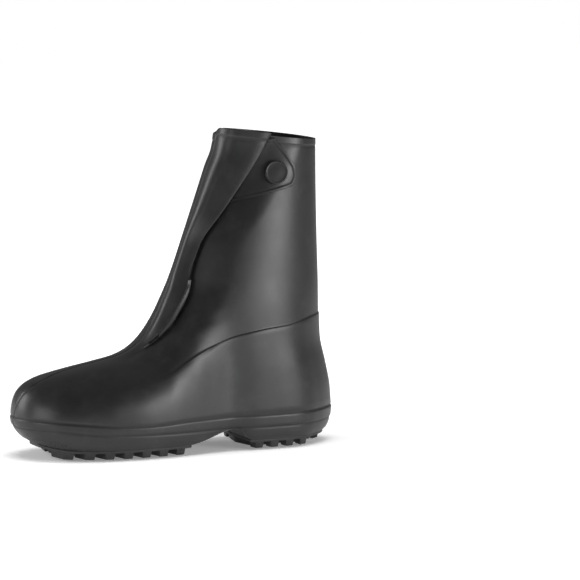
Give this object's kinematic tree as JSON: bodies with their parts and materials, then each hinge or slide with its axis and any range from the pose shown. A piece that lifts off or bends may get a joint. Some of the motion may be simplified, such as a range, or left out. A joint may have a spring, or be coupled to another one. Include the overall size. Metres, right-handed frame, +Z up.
{
  "type": "ice traction overshoe",
  "caption": "Left black rubber work overshoe with a fold-over shaft, a buttoned closure tab and a lugged sole with steel ice studs.",
  "frame": {"origin": "under the middle of the boot's length and width, on the ground that the stud tips stand on", "axes": "+X from the toe to the heel, +Y to the medial side, +Z up the shaft; the closure is on the lateral side, -Y"},
  "size_m": [0.304, 0.1109, 0.286],
  "materials": {
    "black_rubber": "satin",
    "tread_rubber": "matte",
    "stud_steel": "satin"
  },
  "bodies": {
    "root": {"upper": "black_rubber", "closure_tab": "black_rubber", "button": "black_rubber", "forefoot_tread": "tread_rubber", "heel_tread": "tread_rubber", "stud_01": "stud_steel", "stud_02": "stud_steel", "stud_03": "stud_steel", "stud_04": "stud_steel", "stud_05": "stud_steel", "stud_06": "stud_steel", "stud_07": "stud_steel", "stud_08": "stud_steel", "stud_09": "stud_steel", "stud_10": "stud_steel", "stud_11": "stud_steel", "stud_12": "stud_steel", "stud_13": "stud_steel", "stud_14": "stud_steel", "stud_15": "stud_steel", "stud_16": "stud_steel", "stud_17": "stud_steel", "stud_18": "stud_steel", "stud_19": "stud_steel", "stud_20": "stud_steel", "stud_21": "stud_steel", "stud_22": "stud_steel", "stud_23": "stud_steel"}
  },
  "joints": []
}
